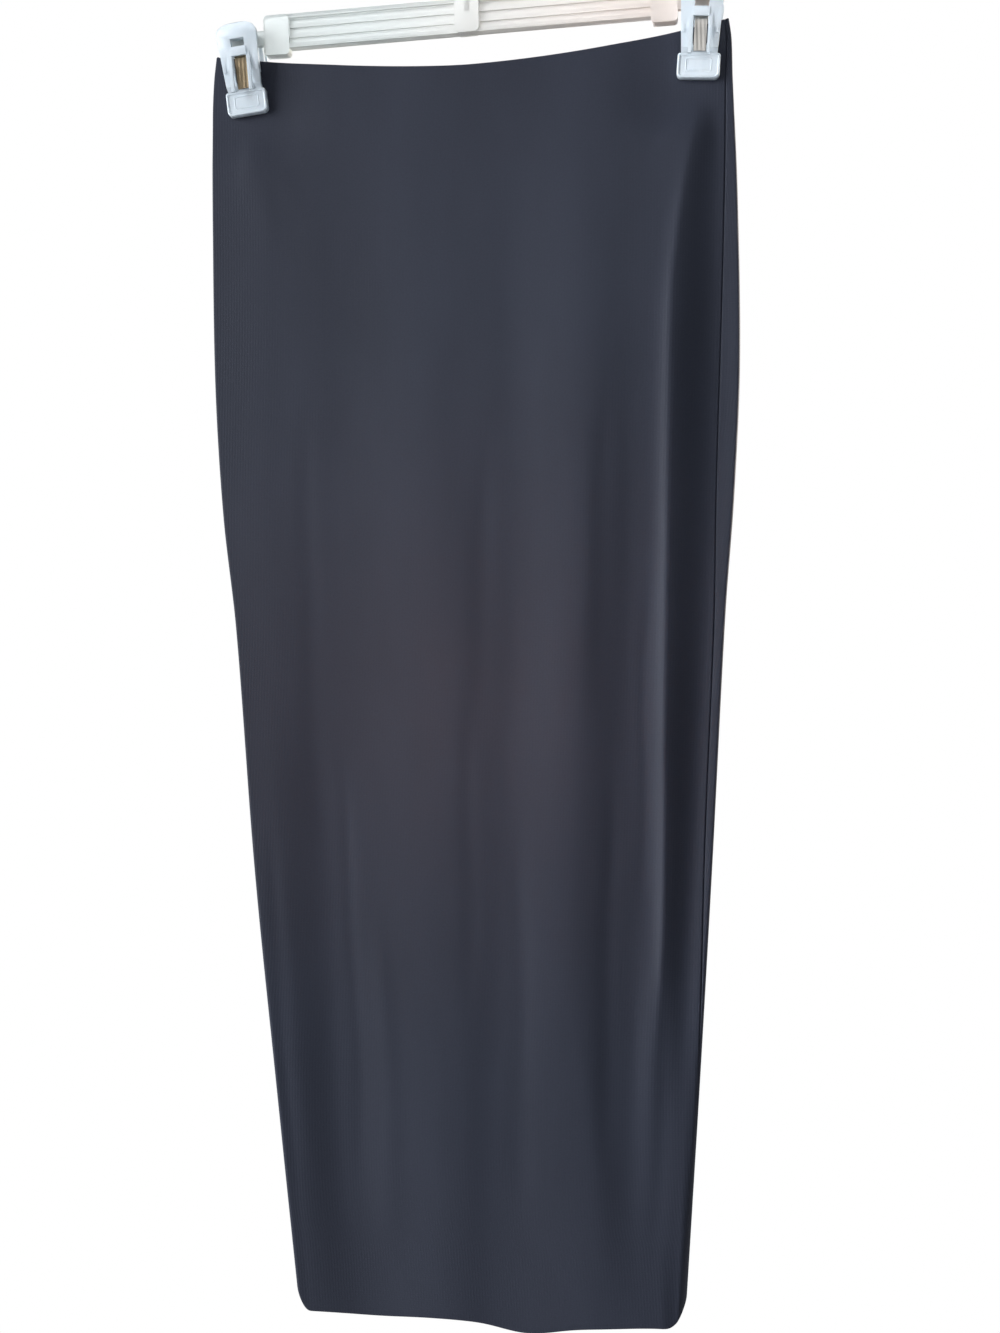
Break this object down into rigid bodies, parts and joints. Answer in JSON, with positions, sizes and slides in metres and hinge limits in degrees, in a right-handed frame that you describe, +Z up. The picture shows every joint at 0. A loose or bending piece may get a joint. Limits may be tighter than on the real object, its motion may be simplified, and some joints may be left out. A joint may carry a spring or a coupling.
{
  "type": "midi skirt on a clip hanger",
  "caption": "Narrow pull-on midi skirt in dark jersey, hung by its waist from a clear bar hanger with pinch clips and a wire hook.",
  "frame": {"origin": "inside of the hook's top, where a rail carries the hanger", "axes": "+Z up along the hanging skirt, -Y the way the skirt's front faces, +X to the right as its front is seen"},
  "size_m": [0.3253, 0.0419, 0.8826],
  "materials": {
    "jersey": "slinky knit jersey with a soft sheen",
    "clear_plastic": "clear moulded, glossy",
    "frosted_plastic": "frosted translucent moulding",
    "spring_steel": "rolled spring strip",
    "hook_wire": "bright plated wire"
  },
  "bodies": {
    "root": {"front_panel": "jersey", "back_panel": "jersey", "hanger_bar": "clear_plastic", "hanger_hook": "hook_wire", "clip_left_front": "frosted_plastic", "clip_left_back": "frosted_plastic", "clip_left_spring": "spring_steel", "clip_right_front": "frosted_plastic", "clip_right_back": "frosted_plastic", "clip_right_spring": "spring_steel"}
  },
  "joints": []
}
